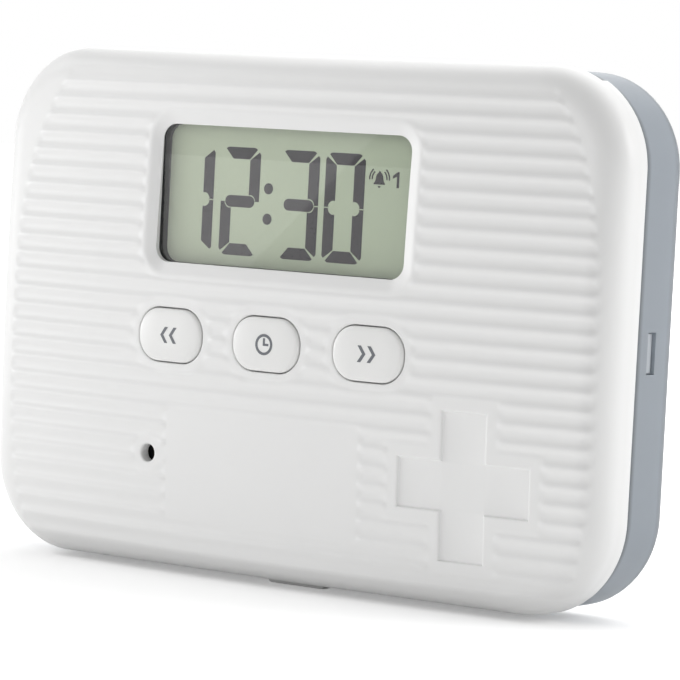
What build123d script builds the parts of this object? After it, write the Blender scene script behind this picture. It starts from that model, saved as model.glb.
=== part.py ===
from build123d import *
from math import sqrt
import os

# Pill box with alarm, standing on its long lower edge.
# Millimetres. X is the width, the face looks towards -Y, and Z is up.
# Depths are measured back from the middle of the domed face.

os.makedirs("parts", exist_ok=True)

# Outside of the box
width = 126.4
height = 87.4
corner_radius = 16.2
timer_depth = 12.5
case_depth = 12.8
parting_gap = 0.3
face_radius = 530.0
front_edge_radius = 7.0
wall = 1.8

# Thumb tab under the parting line, and the pill case's lip behind it
tab_width = 12.0
tab_drop = 0.9
tab_depth = 2.2
tab_corner = 0.8
lip_width = 7.0
lip_depth = 4.5

# Ribs across the face
rib_pitch = 3.0
rib_count = 27
top_rib_height = 38.4
groove_radius = 1.1
groove_depth = 0.35
crest_drop = 0.03
rib_side_margin = 5.5
rib_end_margin = 1.1

# Features of the face, placed from its middle
display_x = -0.2
display_height = 19.7
display_opening = (51.0, 23.2)
display_corner = 2.6
display_margin = 3.0
button_size = (13.6, 8.9)
button_corner = 4.2
button_pitch = 20.4
button_height = -4.1
button_middle_x = -0.4
button_margin = 1.7
sound_hole_x = -25.1
sound_hole_height = -24.3
sound_hole_radius = 1.5
sound_hole_margin = 1.6
label_size = (39.4, 18.8)
label_x = -1.1
label_height = -25.6
cross_x = 38.5
cross_height = -24.0
cross_arm = 8.0
cross_recess = 0.45
cross_margin = 2.2

# Display stack behind the opening
seat_depth = 2.4
window_thickness = 1.0
gasket_thickness = 1.4
panel_thickness = 1.6
stack_overlap = 2.4
frame_wall = 1.5
fit_gap = 0.15
stack_gap = 0.05
strip_thickness = 2.3
strip_width = 1.8
backing_thickness = 0.3

# Circuit board
board_thickness = 1.0
board_half_width = 45.0
board_top = 36.5
board_bottom = -37.0
board_step = -10.6
board_leg_edge = 10.0
board_boss_radius = 2.6
board_boss_x = 41.0
board_boss_inset = 5.0
chip_x = 12.0
chip_height = 14.0
chip_radius = 5.0
chip_thickness = 0.8
crystal_x = -36.0
crystal_height = 6.0
crystal_radius = 1.0
crystal_length = 6.0
capacitor_size = (2.0, 1.3)
capacitor_pitch = 4.0
capacitor_thickness = 0.7
board_screw_radius = 0.9
board_screw_length = 3.6
screw_head_radius = 1.75
screw_head_height = 0.9
thread_gap = 0.05

# Buttons and their switches
button_proud = 0.5
button_gap = 0.2
button_edge_radius = 0.5
button_travel = 0.5
flange_lip = 0.7
flange_thickness = 0.8
flange_gap = 0.25
stem_radius = 1.4
switch_size = 6.0
switch_height = 2.4
plunger_radius = 1.6
plunger_stand = 1.0
plunger_seat = 0.9
plunger_gap = 0.05

# Sounder behind the hole
sounder_radius = 6.0
sounder_height = 4.6
sounder_wall = 0.8
disc_thickness = 0.3

# Back plate of the timer and its screws
plate_thickness = 1.6
ledge = 0.7
plate_gap = 0.1
plate_screw_x = 51.0
plate_screw_height = 31.5
plate_boss_radius = 3.0
plate_screw_radius = 1.0
plate_screw_length = 5.5
counterbore_depth = 1.0
counterbore_gap = 0.25

# Coin cell, its bay and its door
cell_radius = 10.0
cell_thickness = 3.2
cell_gap = 0.4
cell_edge_radius = 0.4
bay_x = 30.0
bay_height = -23.5
bay_wall = 1.2
bay_floor = 0.8
door_size = (27.0, 27.0)
door_corner = 2.5
door_thickness = 1.1
door_gap = 0.15
door_screw_drop = 11.6
door_screw_radius = 0.7
door_screw_length = 4.0
door_head_radius = 1.4
door_boss_radius = 1.8
contact_thickness = 0.25
contact_width = 3.0
rim_contact_width = 8.0

# Hinge at the top edge
hinge_inset = 2.0
barrel_radius = 1.7
pin_radius = 0.75
pin_gap = 0.05
pin_setback = 0.3
hinge_station = 26.0
case_barrel_length = 10.0
ear_length = 4.0
ear_gap = 0.25
hinge_relief = 0.25
notch_floor = 0.1
rail_overlap = 0.5

# Closing tabs near the lower edge
closing_tab_x = 24.0
closing_tab_length = 14.0
closing_tab_thickness = 1.2
closing_tab_reach = 2.2
closing_tab_gap = 0.35

# Pill case and the tray inside it
case_inset = 0.6
case_wall = 1.6
case_edge_radius = 3.3
slot_height = -1.0
slot_length = 6.7
slot_width = 2.4
slot_setback = 3.9
tray_gap = 0.25
tray_wall = 1.2
tray_floor = 1.0
tray_rows = 2
tray_columns = 3
tray_setback = 0.9
tray_edge_radius = 2.0
pocket_corner = 4.0
catch_gap = 0.2
catch_depth = 1.0


def face_drop(x, z):
    """How far back the domed face lies at a place on it."""
    return face_radius - sqrt(face_radius**2 - x**2 - z**2)


# Places worked out from the sizes above
foremost = button_proud - face_drop(button_middle_x, button_height)
centre_z = height / 2 + tab_drop
case_start = timer_depth + parting_gap
box_depth = case_start + case_depth
front_y = (foremost - box_depth) / 2
window_back = seat_depth + window_thickness
gasket_back = window_back + stack_gap + gasket_thickness
panel_back = gasket_back + stack_gap + panel_thickness
board_front = panel_back + strip_thickness + 2 * stack_gap
board_back = board_front + board_thickness
plate_front = timer_depth - plate_thickness
relief_half = width / 2 - corner_radius + sqrt(2 * corner_radius * hinge_inset)
stack_size = (display_opening[0] + 2 * stack_overlap, display_opening[1] + 2 * stack_overlap)
hinge_depth = timer_depth + parting_gap / 2
hinge_height = height / 2 - hinge_inset
relief_radius = barrel_radius + hinge_relief
button_xs = [button_middle_x + i * button_pitch for i in (-1, 0, 1)]
plunger_front = board_front - switch_height - plunger_stand
switch_bore_depth = plunger_seat + button_travel + plunger_gap
door_front = timer_depth - door_thickness
cell_back = door_front - cell_gap / 2
cell_front = cell_back - cell_thickness
bay_inner_front = cell_front - 2 * contact_thickness - stack_gap
bay_front = bay_inner_front - bay_floor
bay_inner_radius = cell_radius + cell_gap
bay_outer_radius = bay_inner_radius + bay_wall
door_screw_height = bay_height - door_screw_drop
rail_bottom = hinge_height - relief_radius - rail_overlap
closing_tab_height = -(height / 2 - case_inset - case_wall - closing_tab_gap - closing_tab_thickness / 2)
slot_depth = timer_depth + slot_setback + slot_width / 2
tray_front = case_start + tray_setback
tray_back = box_depth - case_wall - tray_gap
tray_half_width = width / 2 - case_inset - case_wall - tray_gap
tray_half_height = hinge_height - relief_radius - tray_gap
tray_corner = corner_radius - case_inset - case_wall - tray_gap
catch_reach = tray_half_width + tray_gap + catch_depth
barrel_half = case_barrel_length / 2
barrel_spans = [
    (side * hinge_station - barrel_half, side * hinge_station + barrel_half)
    for side in (-1, 1)
]
ear_start = barrel_half + ear_gap
ear_spans = []
for side in (-1, 1):
    station = side * hinge_station
    ear_spans.append((station + ear_start, station + ear_start + ear_length))
    ear_spans.append((station - ear_start - ear_length, station - ear_start))


def at_depth(depth):
    """Plane across the box at a depth, with X to the right and Y up, looking out of the face."""
    return Plane(origin=(0, front_y + depth, centre_z), x_dir=(1, 0, 0), z_dir=(0, -1, 0))


def wave_point(z, depth):
    """A place on the face's upright middle line, at a depth below the dome, seen from the side."""
    return (face_radius - face_drop(0, z) - depth, z)


def rounded_block(inset, front, back):
    """The box's outline, drawn in by an inset, between two depths."""
    with BuildPart() as block:
        with BuildSketch(at_depth(back)):
            RectangleRounded(width - 2 * inset, height - 2 * inset, corner_radius - inset)
        extrude(amount=back - front)
    return block.part


def domed_block(inset, back):
    """The timer housing's outer form, or its hollow when drawn in by the wall."""
    with BuildPart() as block:
        add(rounded_block(inset, -1, back))
        with Locations((0, front_y + face_radius, centre_z)):
            Sphere(face_radius - inset, mode=Mode.INTERSECT)
        front = block.faces().sort_by(Axis.Y)[0]
        fillet(front.edges(), front_edge_radius - inset)
    return block.part


def hinge_bar(radius, start, end):
    """A round bar on the hinge's axis between two places along X."""
    with BuildPart() as bar:
        with BuildSketch(Plane((start, front_y + hinge_depth, centre_z + hinge_height), z_dir=(1, 0, 0))):
            Circle(radius)
        extrude(amount=end - start)
    return bar.part


# Room along the top edge for the pill case to swing into
with BuildPart() as hinge_notch:
    with BuildSketch(at_depth(timer_depth + 1)):
        with Locations((0, hinge_height - notch_floor + hinge_inset)):
            Rectangle(2 * relief_half, 2 * hinge_inset)
    extrude(amount=timer_depth + 1 - hinge_depth + relief_radius)

# Hollow of the pill case
with BuildPart() as case_hollow:
    add(rounded_block(case_inset + case_wall, case_start - 1, box_depth - case_wall))
    fillet(case_hollow.faces().sort_by(Axis.Y)[-1].edges(), case_edge_radius - case_wall)

# Ribs of the face: a wave turned about an upright axis, cut round every flat place
rib_heights = [top_rib_height - i * rib_pitch for i in range(rib_count)]
flank_half = 0.9 * sqrt(groove_radius**2 - (groove_radius - groove_depth) ** 2)
flank_drop = crest_drop + groove_depth / 4
wave_top = top_rib_height + rib_pitch / 2
wave_bottom = rib_heights[-1] - rib_pitch / 2
with BuildPart() as rib_grooves:
    with BuildSketch(Plane((0, front_y + face_radius, centre_z), x_dir=(0, -1, 0), z_dir=(-1, 0, 0))):
        with BuildLine():
            for middle in rib_heights:
                ThreePointArc(
                    wave_point(middle + flank_half, flank_drop),
                    wave_point(middle, crest_drop + groove_depth),
                    wave_point(middle - flank_half, flank_drop),
                )
            for middle in rib_heights[:-1]:
                ThreePointArc(
                    wave_point(middle - flank_half, flank_drop),
                    wave_point(middle - rib_pitch / 2, crest_drop),
                    wave_point(middle - rib_pitch + flank_half, flank_drop),
                )
            Polyline(
                wave_point(rib_heights[0] + flank_half, flank_drop),
                wave_point(wave_top, crest_drop),
                (face_radius + wall, wave_top),
                (face_radius + wall, wave_bottom),
                wave_point(wave_bottom, crest_drop),
                wave_point(rib_heights[-1] - flank_half, flank_drop),
            )
        make_face()
    revolve(axis=Axis((0, front_y + face_radius, centre_z), (0, 0, 1)))
    with BuildSketch(at_depth(front_edge_radius)):
        RectangleRounded(width - 2 * rib_side_margin, height - 2 * rib_end_margin, corner_radius)
        with Locations((display_x, display_height)):
            RectangleRounded(
                display_opening[0] + 2 * display_margin,
                display_opening[1] + 2 * display_margin,
                display_corner + display_margin / 2,
                mode=Mode.SUBTRACT,
            )
        with Locations([(x, button_height) for x in button_xs]):
            RectangleRounded(
                button_size[0] + 2 * button_margin,
                button_size[1] + 2 * button_margin,
                button_corner + button_margin,
                mode=Mode.SUBTRACT,
            )
        with Locations((sound_hole_x, sound_hole_height)):
            Circle(sound_hole_radius + sound_hole_margin, mode=Mode.SUBTRACT)
        with Locations((label_x, label_height)):
            Rectangle(*label_size, mode=Mode.SUBTRACT)
        with Locations((cross_x, cross_height)):
            Rectangle(3 * cross_arm + 2 * cross_margin, cross_arm + 2 * cross_margin, mode=Mode.SUBTRACT)
            Rectangle(cross_arm + 2 * cross_margin, 3 * cross_arm + 2 * cross_margin, mode=Mode.SUBTRACT)
    extrude(amount=2 * front_edge_radius, mode=Mode.INTERSECT)

# Posts inside the front casing: the frame round the display, the screw bosses and the hinge rail
board_bosses = [
    (board_boss_x, board_top - board_boss_inset),
    (-board_boss_x, board_top - board_boss_inset),
    (-board_boss_x, board_bottom + board_boss_inset),
    (board_boss_x, board_step + board_boss_inset),
]
plate_bosses = [
    (x, z)
    for x in (-plate_screw_x, plate_screw_x)
    for z in (-plate_screw_height, plate_screw_height)
]
with BuildPart() as casing_posts:
    with BuildSketch(at_depth(board_front - stack_gap)):
        with Locations((display_x, display_height)):
            Rectangle(
                stack_size[0] + 2 * fit_gap + 2 * frame_wall,
                stack_size[1] + 2 * fit_gap + 2 * frame_wall,
            )
        with Locations(board_bosses):
            Circle(board_boss_radius)
    extrude(amount=board_front)
    with BuildSketch(at_depth(plate_front - stack_gap)):
        with Locations(plate_bosses):
            Circle(plate_boss_radius)
    extrude(amount=plate_front)
    with BuildSketch(at_depth(hinge_depth - relief_radius)):
        with Locations((0, (height / 2 + rail_bottom) / 2)):
            Rectangle(width - 2 * corner_radius, height / 2 - rail_bottom)
    extrude(amount=plate_front)
    add(domed_block(wall / 2, timer_depth), mode=Mode.INTERSECT)

# Front casing
with BuildPart() as front_casing:
    add(domed_block(0, timer_depth))
    add(domed_block(wall, timer_depth + 1), mode=Mode.SUBTRACT)
    add(rounded_block(wall - ledge, plate_front, timer_depth + 1), mode=Mode.SUBTRACT)
    add(casing_posts.part)
    with BuildSketch(at_depth(timer_depth)):
        with Locations((display_x, display_height)):
            Rectangle(stack_size[0] + 2 * fit_gap, stack_size[1] + 2 * fit_gap)
    extrude(amount=timer_depth - seat_depth, mode=Mode.SUBTRACT)
    with BuildSketch(at_depth(board_front)):
        with Locations((display_x, display_height)):
            RectangleRounded(*display_opening, display_corner)
        with Locations([(x, button_height) for x in button_xs]):
            RectangleRounded(
                button_size[0] + 2 * button_gap,
                button_size[1] + 2 * button_gap,
                button_corner + button_gap,
            )
        with Locations((sound_hole_x, sound_hole_height)):
            Circle(sound_hole_radius)
    extrude(amount=board_front, mode=Mode.SUBTRACT)
    with BuildSketch(at_depth(face_drop(cross_x, cross_height) + cross_recess)):
        with Locations((cross_x, cross_height)):
            Rectangle(3 * cross_arm, cross_arm)
            Rectangle(cross_arm, 3 * cross_arm)
    extrude(amount=wall + cross_recess, mode=Mode.SUBTRACT)
    add(rib_grooves.part, mode=Mode.SUBTRACT)
    with BuildSketch(at_depth(board_front)):
        with Locations(board_bosses):
            Circle(board_screw_radius + thread_gap)
    extrude(amount=board_screw_length, mode=Mode.SUBTRACT)
    with BuildSketch(at_depth(plate_front)):
        with Locations(plate_bosses):
            Circle(plate_screw_radius + thread_gap)
    extrude(amount=plate_screw_length, mode=Mode.SUBTRACT)
    with BuildSketch(at_depth(timer_depth)):
        with Locations((0, -height / 2)):
            RectangleRounded(tab_width, 2 * tab_drop, tab_corner)
    extrude(amount=tab_depth)
    add(hinge_notch.part, mode=Mode.SUBTRACT)
front_casing.part.label = "front_casing"
export_step(front_casing.part, "parts/front_casing.step")

# Clear window over the display
with BuildPart() as display_window:
    with BuildSketch(at_depth(window_back)):
        with Locations((display_x, display_height)):
            Rectangle(*stack_size)
    extrude(amount=window_thickness - stack_gap)
display_window.part.label = "display_window"
export_step(display_window.part, "parts/display_window.step")

# Black gasket that masks the display's edges
with BuildPart() as display_gasket:
    with BuildSketch(at_depth(gasket_back)):
        with Locations((display_x, display_height)):
            Rectangle(*stack_size)
            RectangleRounded(*display_opening, display_corner, mode=Mode.SUBTRACT)
    extrude(amount=gasket_thickness)
display_gasket.part.label = "display_gasket"
export_step(display_gasket.part, "parts/display_gasket.step")

# Liquid crystal panel
with BuildPart() as display_panel:
    with BuildSketch(at_depth(panel_back)):
        with Locations((display_x, display_height)):
            Rectangle(*stack_size)
    extrude(amount=panel_thickness)
display_panel.part.label = "display_panel"
export_step(display_panel.part, "parts/display_panel.step")

# Pale backing film of the display, between its two contact strips
strip_offset = stack_size[1] / 2 - strip_width / 2 - fit_gap
with BuildPart() as display_backing:
    with BuildSketch(at_depth(panel_back + stack_gap + backing_thickness)):
        with Locations((display_x, display_height)):
            Rectangle(stack_size[0] - 2 * fit_gap, 2 * strip_offset - strip_width - 2 * fit_gap)
    extrude(amount=backing_thickness)
display_backing.part.label = "display_backing"
export_step(display_backing.part, "parts/display_backing.step")

# Striped rubber strips that join the display to the board
with BuildPart() as contact_strips:
    with BuildSketch(at_depth(board_front - stack_gap)):
        with Locations([(display_x, display_height + side * strip_offset) for side in (-1, 1)]):
            Rectangle(display_opening[0], strip_width)
    extrude(amount=strip_thickness)
contact_strips.part.label = "contact_strips"
export_step(contact_strips.part, "parts/contact_strips.step")

# Circuit board, stepped round the battery bay
with BuildPart() as main_board:
    with BuildSketch(at_depth(board_back)):
        with BuildLine():
            Polyline(
                (-board_half_width, board_top),
                (board_half_width, board_top),
                (board_half_width, board_step),
                (board_leg_edge, board_step),
                (board_leg_edge, board_bottom),
                (-board_half_width, board_bottom),
                close=True,
            )
        make_face()
        with Locations(board_bosses):
            Circle(board_screw_radius + fit_gap, mode=Mode.SUBTRACT)
    extrude(amount=board_thickness)
main_board.part.label = "main_board"
export_step(main_board.part, "parts/main_board.step")

# Sealed controller chip on the back of the board
with BuildPart() as controller_chip:
    with BuildSketch(at_depth(board_back + stack_gap)):
        with Locations((chip_x, chip_height)):
            Circle(chip_radius)
    extrude(amount=-chip_thickness)
    fillet(controller_chip.faces().sort_by(Axis.Y)[-1].edges(), chip_thickness / 2)
controller_chip.part.label = "controller_chip"
export_step(controller_chip.part, "parts/controller_chip.step")

# Watch crystal that keeps the time
with BuildPart() as clock_crystal:
    crystal_y = front_y + board_front - crystal_radius - stack_gap
    with BuildSketch(Plane((crystal_x, crystal_y, centre_z + crystal_height))):
        Circle(crystal_radius)
    extrude(amount=crystal_length)
clock_crystal.part.label = "clock_crystal"
export_step(clock_crystal.part, "parts/clock_crystal.step")

# Small capacitors on the back of the board
with BuildPart() as capacitors:
    with BuildSketch(at_depth(board_back + stack_gap)):
        with Locations([(chip_x + i * capacitor_pitch, chip_height - chip_radius - 4) for i in (-1, 0, 1)]):
            Rectangle(*capacitor_size)
    extrude(amount=-capacitor_thickness)
capacitors.part.label = "capacitors"
export_step(capacitors.part, "parts/capacitors.step")

# Housings of the three push switches
with BuildPart() as switch_housings:
    with BuildSketch(at_depth(board_front - stack_gap)):
        with Locations([(x, button_height) for x in button_xs]):
            Rectangle(switch_size, switch_size)
    extrude(amount=switch_height - stack_gap)
    with BuildSketch(at_depth(board_front - switch_height)):
        with Locations([(x, button_height) for x in button_xs]):
            Circle(plunger_radius + plunger_gap)
    extrude(amount=-switch_bore_depth, mode=Mode.SUBTRACT)
switch_housings.part.label = "switch_housings"
export_step(switch_housings.part, "parts/switch_housings.step")

# Button caps, each with its retaining flange and stem, and the switch plungers under them
for button_name, button_x in zip(("hour", "mode", "minute"), button_xs):
    cap_front = face_drop(button_x, button_height) - button_proud
    flange_front = flange_gap + wall + face_drop(
        abs(button_x) + button_size[0] / 2 + flange_lip,
        abs(button_height) + button_size[1] / 2 + flange_lip,
    )
    with BuildPart() as button:
        with BuildSketch(at_depth(flange_front + flange_thickness)):
            with Locations((button_x, button_height)):
                RectangleRounded(*button_size, button_corner)
        extrude(amount=flange_front + flange_thickness - cap_front)
        fillet(button.faces().sort_by(Axis.Y)[0].edges(), button_edge_radius)
        with BuildSketch(at_depth(flange_front + flange_thickness)):
            with Locations((button_x, button_height)):
                RectangleRounded(
                    button_size[0] + 2 * flange_lip,
                    button_size[1] + 2 * flange_lip,
                    button_corner + flange_lip,
                )
        extrude(amount=flange_thickness)
        with BuildSketch(at_depth(plunger_front - stack_gap)):
            with Locations((button_x, button_height)):
                Circle(stem_radius)
        extrude(amount=plunger_front - stack_gap - flange_front)
    button.part.label = button_name + "_button"
    export_step(button.part, "parts/" + button_name + "_button.step")

    with BuildPart() as plunger:
        with BuildSketch(at_depth(plunger_front)):
            with Locations((button_x, button_height)):
                Circle(plunger_radius)
        extrude(amount=-(plunger_stand + plunger_seat))
    plunger.part.label = button_name + "_plunger"
    export_step(plunger.part, "parts/" + button_name + "_plunger.step")

# Sounder: a round housing open at its port, with the disc inside it
with BuildPart() as sounder_housing:
    with BuildSketch(at_depth(board_front - stack_gap)):
        with Locations((sound_hole_x, sound_hole_height)):
            Circle(sounder_radius)
    extrude(amount=sounder_height)
    with BuildSketch(at_depth(board_front - stack_gap - sounder_wall)):
        with Locations((sound_hole_x, sound_hole_height)):
            Circle(sounder_radius - sounder_wall)
    extrude(amount=sounder_height - 2 * sounder_wall, mode=Mode.SUBTRACT)
    with BuildSketch(at_depth(board_front - sounder_wall)):
        with Locations((sound_hole_x, sound_hole_height)):
            Circle(sound_hole_radius)
    extrude(amount=sounder_height, mode=Mode.SUBTRACT)
sounder_housing.part.label = "sounder_housing"
export_step(sounder_housing.part, "parts/sounder_housing.step")

with BuildPart() as sounder_disc:
    with BuildSketch(at_depth(board_front - sounder_wall - 2 * stack_gap)):
        with Locations((sound_hole_x, sound_hole_height)):
            Circle(sounder_radius - sounder_wall - fit_gap)
    extrude(amount=disc_thickness)
sounder_disc.part.label = "sounder_disc"
export_step(sounder_disc.part, "parts/sounder_disc.step")

# Screws that hold the board to the front casing
with BuildPart() as board_screws:
    with BuildSketch(at_depth(board_back + stack_gap)):
        with Locations(board_bosses):
            Circle(screw_head_radius)
    extrude(amount=-screw_head_height)
    fillet(board_screws.faces().group_by(Axis.Y)[-1].edges(), screw_head_height / 2)
    with BuildSketch(at_depth(board_back + stack_gap)):
        with Locations(board_bosses):
            Circle(board_screw_radius)
    extrude(amount=board_thickness + board_screw_length - 2 * stack_gap)
board_screws.part.label = "board_screws"
export_step(board_screws.part, "parts/board_screws.step")

# Back plate: closes the timer housing, and carries the hinge ears, the closing tabs and the battery bay
with BuildPart() as back_plate:
    add(rounded_block(wall - ledge + plate_gap, plate_front, timer_depth))
    add(hinge_notch.part, mode=Mode.SUBTRACT)
    with BuildSketch(at_depth(timer_depth)):
        with Locations([(side * hinge_station, hinge_height) for side in (-1, 1)]):
            Rectangle(case_barrel_length + 2 * ear_gap, 2 * relief_radius)
    extrude(amount=plate_thickness, mode=Mode.SUBTRACT)
    for start, end in ear_spans:
        add(hinge_bar(barrel_radius, start, end))
    with BuildSketch(at_depth(timer_depth + closing_tab_reach)):
        with Locations([(side * closing_tab_x, closing_tab_height) for side in (-1, 1)]):
            Rectangle(closing_tab_length, closing_tab_thickness)
    extrude(amount=closing_tab_reach + plate_thickness / 2)
    with BuildSketch(at_depth(plate_front + plate_thickness / 2)):
        with Locations((bay_x, bay_height)):
            Circle(bay_outer_radius)
        with Locations((bay_x, door_screw_height)):
            Circle(door_boss_radius)
    extrude(amount=plate_front + plate_thickness / 2 - bay_front)
    with BuildSketch(at_depth(timer_depth)):
        with Locations((bay_x, bay_height)):
            Circle(bay_inner_radius)
    extrude(amount=timer_depth - bay_inner_front, mode=Mode.SUBTRACT)
    with BuildSketch(at_depth(timer_depth)):
        with Locations((bay_x, bay_height)):
            RectangleRounded(
                door_size[0] + 2 * door_gap,
                door_size[1] + 2 * door_gap,
                door_corner + door_gap,
            )
    extrude(amount=door_thickness + stack_gap, mode=Mode.SUBTRACT)
    with BuildSketch(at_depth(timer_depth)):
        with Locations((bay_x, door_screw_height)):
            Circle(door_screw_radius + thread_gap)
    extrude(amount=door_screw_length + stack_gap, mode=Mode.SUBTRACT)
    with BuildSketch(at_depth(bay_inner_front + contact_thickness + 2 * stack_gap)):
        with Locations((bay_x - bay_inner_radius, bay_height)):
            Rectangle(4 * bay_wall, contact_width + 2 * fit_gap)
    extrude(amount=contact_thickness + 3 * stack_gap, mode=Mode.SUBTRACT)
    with BuildSketch(at_depth(cell_front + contact_thickness + 2 * stack_gap)):
        with Locations((bay_x, bay_height + bay_inner_radius)):
            Rectangle(contact_width + 2 * fit_gap, 4 * bay_wall)
    extrude(amount=contact_thickness + 3 * stack_gap, mode=Mode.SUBTRACT)
    with BuildSketch(at_depth(timer_depth)):
        with Locations(plate_bosses):
            Circle(plate_screw_radius + fit_gap)
    extrude(amount=plate_thickness, mode=Mode.SUBTRACT)
    with BuildSketch(at_depth(timer_depth)):
        with Locations(plate_bosses):
            Circle(screw_head_radius + counterbore_gap)
    extrude(amount=counterbore_depth, mode=Mode.SUBTRACT)
    for start, end in ear_spans:
        add(hinge_bar(pin_radius + pin_gap, start - 1, end + 1), mode=Mode.SUBTRACT)
back_plate.part.label = "back_plate"
export_step(back_plate.part, "parts/back_plate.step")

# Screws that hold the back plate to the front casing
with BuildPart() as plate_screws:
    with BuildSketch(at_depth(timer_depth - counterbore_depth + stack_gap)):
        with Locations(plate_bosses):
            Circle(screw_head_radius)
    extrude(amount=-screw_head_height)
    fillet(plate_screws.faces().group_by(Axis.Y)[-1].edges(), screw_head_height / 3)
    with BuildSketch(at_depth(timer_depth - counterbore_depth + stack_gap)):
        with Locations(plate_bosses):
            Circle(plate_screw_radius)
    extrude(amount=plate_screw_length)
plate_screws.part.label = "plate_screws"
export_step(plate_screws.part, "parts/plate_screws.step")

# Coin cell
with BuildPart() as coin_cell:
    with BuildSketch(at_depth(cell_back)):
        with Locations((bay_x, bay_height)):
            Circle(cell_radius)
    extrude(amount=cell_thickness)
    fillet(coin_cell.edges().filter_by(GeomType.CIRCLE), cell_edge_radius)
coin_cell.part.label = "coin_cell"
export_step(coin_cell.part, "parts/coin_cell.step")

# Contact under the cell, with its foot on the board
foot_x = board_leg_edge - contact_width
with BuildPart() as lower_contact:
    with BuildSketch(at_depth(bay_inner_front + stack_gap + contact_thickness)):
        with Locations(((bay_x + foot_x) / 2, bay_height)):
            Rectangle(bay_x - foot_x, contact_width)
    extrude(amount=contact_thickness)
    with BuildSketch(at_depth(board_front - stack_gap)):
        with Locations((foot_x + contact_thickness / 2, bay_height)):
            Rectangle(contact_thickness, contact_width)
    extrude(amount=board_front - stack_gap - bay_inner_front - stack_gap)
lower_contact.part.label = "lower_contact"
export_step(lower_contact.part, "parts/lower_contact.step")

# Contact at the cell's rim, with its foot on the board
rim_radius = cell_radius + stack_gap
foot_height = board_step + contact_width
with BuildPart() as rim_contact:
    with BuildSketch(at_depth(cell_back)):
        with Locations((bay_x, bay_height)):
            Circle(rim_radius + contact_thickness)
            Circle(rim_radius, mode=Mode.SUBTRACT)
        with Locations((bay_x, bay_height + cell_radius)):
            Rectangle(rim_contact_width, cell_radius, mode=Mode.INTERSECT)
    extrude(amount=cell_thickness)
    with BuildSketch(at_depth(cell_front + contact_thickness)):
        with Locations((bay_x, (bay_height + rim_radius + foot_height) / 2)):
            Rectangle(contact_width, foot_height - bay_height - rim_radius)
    extrude(amount=contact_thickness)
    with BuildSketch(at_depth(board_front - stack_gap)):
        with Locations((bay_x, foot_height - contact_thickness / 2)):
            Rectangle(contact_width, contact_thickness)
    extrude(amount=board_front - stack_gap - cell_front)
rim_contact.part.label = "rim_contact"
export_step(rim_contact.part, "parts/rim_contact.step")

# Battery door and its countersunk screw
with BuildPart() as battery_door:
    with BuildSketch(at_depth(timer_depth)):
        with Locations((bay_x, bay_height)):
            RectangleRounded(*door_size, door_corner)
    extrude(amount=door_thickness)
    with BuildSketch(at_depth(timer_depth)):
        with Locations((bay_x, door_screw_height)):
            Circle(door_head_radius + fit_gap)
    extrude(amount=door_thickness / 2, mode=Mode.SUBTRACT)
    with BuildSketch(at_depth(timer_depth)):
        with Locations((bay_x, door_screw_height)):
            Circle(door_screw_radius + fit_gap)
    extrude(amount=door_thickness, mode=Mode.SUBTRACT)
battery_door.part.label = "battery_door"
export_step(battery_door.part, "parts/battery_door.step")

with BuildPart() as door_screw:
    with BuildSketch(at_depth(timer_depth)):
        with Locations((bay_x, door_screw_height)):
            Circle(door_head_radius)
    extrude(amount=door_thickness / 2 - stack_gap)
    with BuildSketch(at_depth(timer_depth)):
        with Locations((bay_x, door_screw_height)):
            Circle(door_screw_radius)
    extrude(amount=door_screw_length)
door_screw.part.label = "door_screw"
export_step(door_screw.part, "parts/door_screw.step")

# Hinge pins, one at each station
pin_reach = case_barrel_length / 2 + ear_gap + ear_length - pin_setback
with BuildPart() as hinge_pins:
    for side in (-1, 1):
        add(hinge_bar(pin_radius, side * hinge_station - pin_reach, side * hinge_station + pin_reach))
hinge_pins.part.label = "hinge_pins"
export_step(hinge_pins.part, "parts/hinge_pins.step")

# Smoked pill case
with BuildPart() as pill_case:
    add(rounded_block(case_inset, case_start, box_depth))
    fillet(pill_case.faces().sort_by(Axis.Y)[-1].edges(), case_edge_radius)
    add(case_hollow.part, mode=Mode.SUBTRACT)
    for start, end in barrel_spans:
        add(hinge_bar(barrel_radius, start, end))
    with BuildSketch(at_depth(hinge_depth + relief_radius)):
        with Locations([((start + end) / 2, hinge_height) for start, end in ear_spans]):
            Rectangle(ear_length + 2 * ear_gap, 2 * relief_radius)
    extrude(amount=2 * relief_radius, mode=Mode.SUBTRACT)
    for start, end in barrel_spans:
        add(hinge_bar(pin_radius + pin_gap, start - 1, end + 1), mode=Mode.SUBTRACT)
    with BuildSketch(Plane.YZ.offset(-width)):
        with Locations((front_y + slot_depth, centre_z + slot_height)):
            Rectangle(slot_width, slot_length)
    extrude(amount=2 * width, mode=Mode.SUBTRACT)
    with BuildSketch(at_depth(case_start + lip_depth)):
        with Locations((0, -height / 2)):
            RectangleRounded(lip_width, 2 * tab_drop, tab_corner)
    extrude(amount=lip_depth)
pill_case.part.label = "pill_case"
export_step(pill_case.part, "parts/pill_case.step")

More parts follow.
